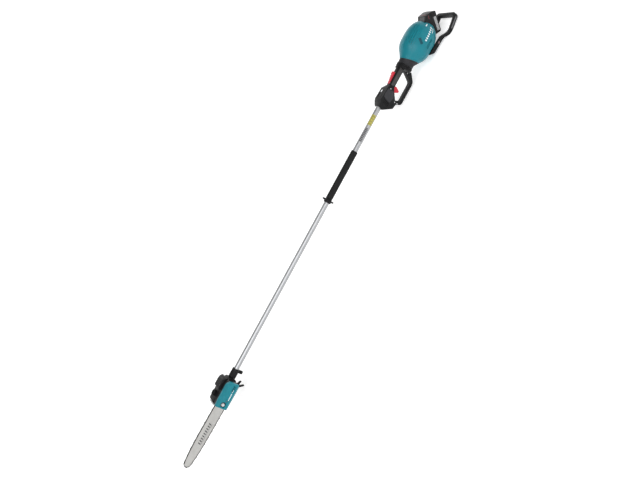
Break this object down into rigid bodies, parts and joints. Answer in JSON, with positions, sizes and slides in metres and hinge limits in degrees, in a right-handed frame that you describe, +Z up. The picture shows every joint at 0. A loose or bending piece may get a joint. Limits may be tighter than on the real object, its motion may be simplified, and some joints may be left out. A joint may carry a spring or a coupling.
{
  "type": "telescoping pole saw",
  "caption": "Cordless telescoping pole saw: battery power head with trigger handle and loop guard, sliding pole with drive shaft inside, and a chain saw head with bar and oil tank.",
  "frame": {"origin": "under the middle of the overall box, on the surface that the rear guard frame's feet stand on", "axes": "+X along the pole from the saw head to the battery, +Z up with the hand guard below, -Y the side of the saw bar"},
  "size_m": [2.6984, 0.166, 0.183],
  "materials": {
    "teal_plastic": "satin moulded shell",
    "black_plastic": "fine-textured moulding",
    "grey_plastic": "fine-textured moulding",
    "guard_black": "coated tube with moulded inserts",
    "red_plastic": "satin",
    "tube_aluminium": "drawn and anodised",
    "steel": "zinc plated",
    "bar_steel": "ground and lightly oiled",
    "dark_steel": "oiled",
    "foam": "fine cell foam",
    "clear_lens": "clear",
    "copper": "wound copper",
    "board": "potted circuit board"
  },
  "bodies": {
    "power_head": {"outer_tube": "tube_aluminium", "lock_collar": "black_plastic", "foam_grip": "foam", "hand_stop": "black_plastic", "shaft_bush_rear": "black_plastic", "handle_left": "black_plastic", "handle_right": "black_plastic", "handle_screw_front": "steel", "handle_screw_rear": "steel", "tube_clamp": "tube_aluminium", "control_panel": "black_plastic", "indicator_lens": "clear_lens", "trigger_pin": "steel", "lever_pin": "steel", "trigger_spring": "steel", "lever_spring": "steel", "switch_block": "grey_plastic", "neck_cone": "grey_plastic", "motor_shell_left": "teal_plastic", "motor_shell_right": "teal_plastic", "motor_bearing_front": "steel", "motor_bearing_rear": "steel", "motor_stator": "copper", "motor_controller": "board", "terminal_block": "black_plastic", "guard_frame": "guard_black"},
    "rotor": {"motor_rotor": "dark_steel", "cooling_fan": "grey_plastic", "rear_drive_shaft": "dark_steel"},
    "trigger": {"trigger": "red_plastic"},
    "lock_off_lever": {"lock_off_lever": "red_plastic"},
    "power_button": {"power_button": "grey_plastic"},
    "mode_button": {"mode_button": "grey_plastic"},
    "lock_knob": {"lock_knob": "black_plastic"},
    "battery": {"battery_case": "black_plastic", "battery_lid": "black_plastic", "battery_cells": "grey_plastic"},
    "battery_latch": {"battery_latch": "grey_plastic"},
    "saw_head": {"inner_tube": "tube_aluminium", "shaft_bush_front": "black_plastic", "spindle_bearing": "steel", "gear_case": "black_plastic", "gear_case_cover": "grey_plastic", "oil_pump": "grey_plastic", "oil_tank": "black_plastic", "guide_bar": "bar_steel", "saw_chain": "dark_steel", "sprocket_cover": "teal_plastic", "bar_stud": "steel", "bar_nut": "steel", "tension_screw": "steel", "bumper_spike": "steel", "branch_hook": "black_plastic"},
    "front_shaft": {"front_drive_shaft": "dark_steel"},
    "spindle": {"sprocket_spindle": "steel"},
    "nose_wheel": {"nose_sprocket": "steel"},
    "oil_cap": {"oil_cap": "black_plastic"}
  },
  "joints": [
    {"name": "pole_extend", "type": "slide", "parent": "power_head", "child": "saw_head", "axis": [-1, 0, 0], "range_m": [0, 1.09]},
    {"name": "rotor_spin", "type": "hinge", "parent": "power_head", "child": "rotor", "pos_m": [1.03552, 0, 0.119], "axis": [1, 0, 0], "continuous": true},
    {"name": "front_shaft_spin", "type": "hinge", "parent": "saw_head", "child": "front_shaft", "pos_m": [-0.91598, 0, 0.119], "axis": [1, 0, 0], "continuous": true},
    {"name": "spindle_spin", "type": "hinge", "parent": "saw_head", "child": "spindle", "pos_m": [-0.91598, 0, 0.119], "axis": [0, 1, 0], "continuous": true},
    {"name": "nose_wheel_spin", "type": "hinge", "parent": "saw_head", "child": "nose_wheel", "pos_m": [-1.3266, -0.044, 0.12688], "axis": [0, 1, 0], "continuous": true},
    {"name": "trigger_squeeze", "type": "hinge", "parent": "power_head", "child": "trigger", "pos_m": [0.84152, 0, 0.105], "axis": [0, -1, 0], "range_deg": [0, 10], "stiffness_Nm_per_rad": 0.8, "springref_deg": -8.59, "deforming": ["trigger_spring"]},
    {"name": "lock_off_press", "type": "hinge", "parent": "power_head", "child": "lock_off_lever", "pos_m": [0.87552, 0, 0.134], "axis": [0, 1, 0], "range_deg": [0, 5], "stiffness_Nm_per_rad": 0.6, "springref_deg": -8.59, "deforming": ["lever_spring"]},
    {"name": "power_press", "type": "slide", "parent": "power_head", "child": "power_button", "axis": [0, 0, -1], "range_m": [0, 0.0014], "stiffness_N_per_m": 1200, "springref_m": -0.001},
    {"name": "mode_press", "type": "slide", "parent": "power_head", "child": "mode_button", "axis": [0, 0, -1], "range_m": [0, 0.0014], "stiffness_N_per_m": 1200, "springref_m": -0.001},
    {"name": "battery_slide", "type": "slide", "parent": "power_head", "child": "battery", "axis": [0.5592, 0, 0.829], "range_m": [0, 0.13]},
    {"name": "latch_press", "type": "slide", "parent": "battery", "child": "battery_latch", "axis": [0.5539, 0, -0.8326], "range_m": [0, 0.003], "stiffness_N_per_m": 900, "springref_m": -0.002},
    {"name": "lock_knob_turn", "type": "hinge", "parent": "power_head", "child": "lock_knob", "pos_m": [-0.79998, 0, 0.089], "axis": [0, 0, 1], "range_deg": [0, 360]},
    {"name": "oil_cap_turn", "type": "hinge", "parent": "saw_head", "child": "oil_cap", "pos_m": [-0.94798, 0, 0.167], "axis": [0, 0, 1], "range_deg": [0, 360]}
  ],
  "couplings": [
    {"joint": "front_shaft_spin", "follows": "rotor_spin", "ratio": 1},
    {"joint": "spindle_spin", "follows": "rotor_spin", "ratio": 0.75},
    {"joint": "nose_wheel_spin", "follows": "rotor_spin", "ratio": 0.85714}
  ]
}
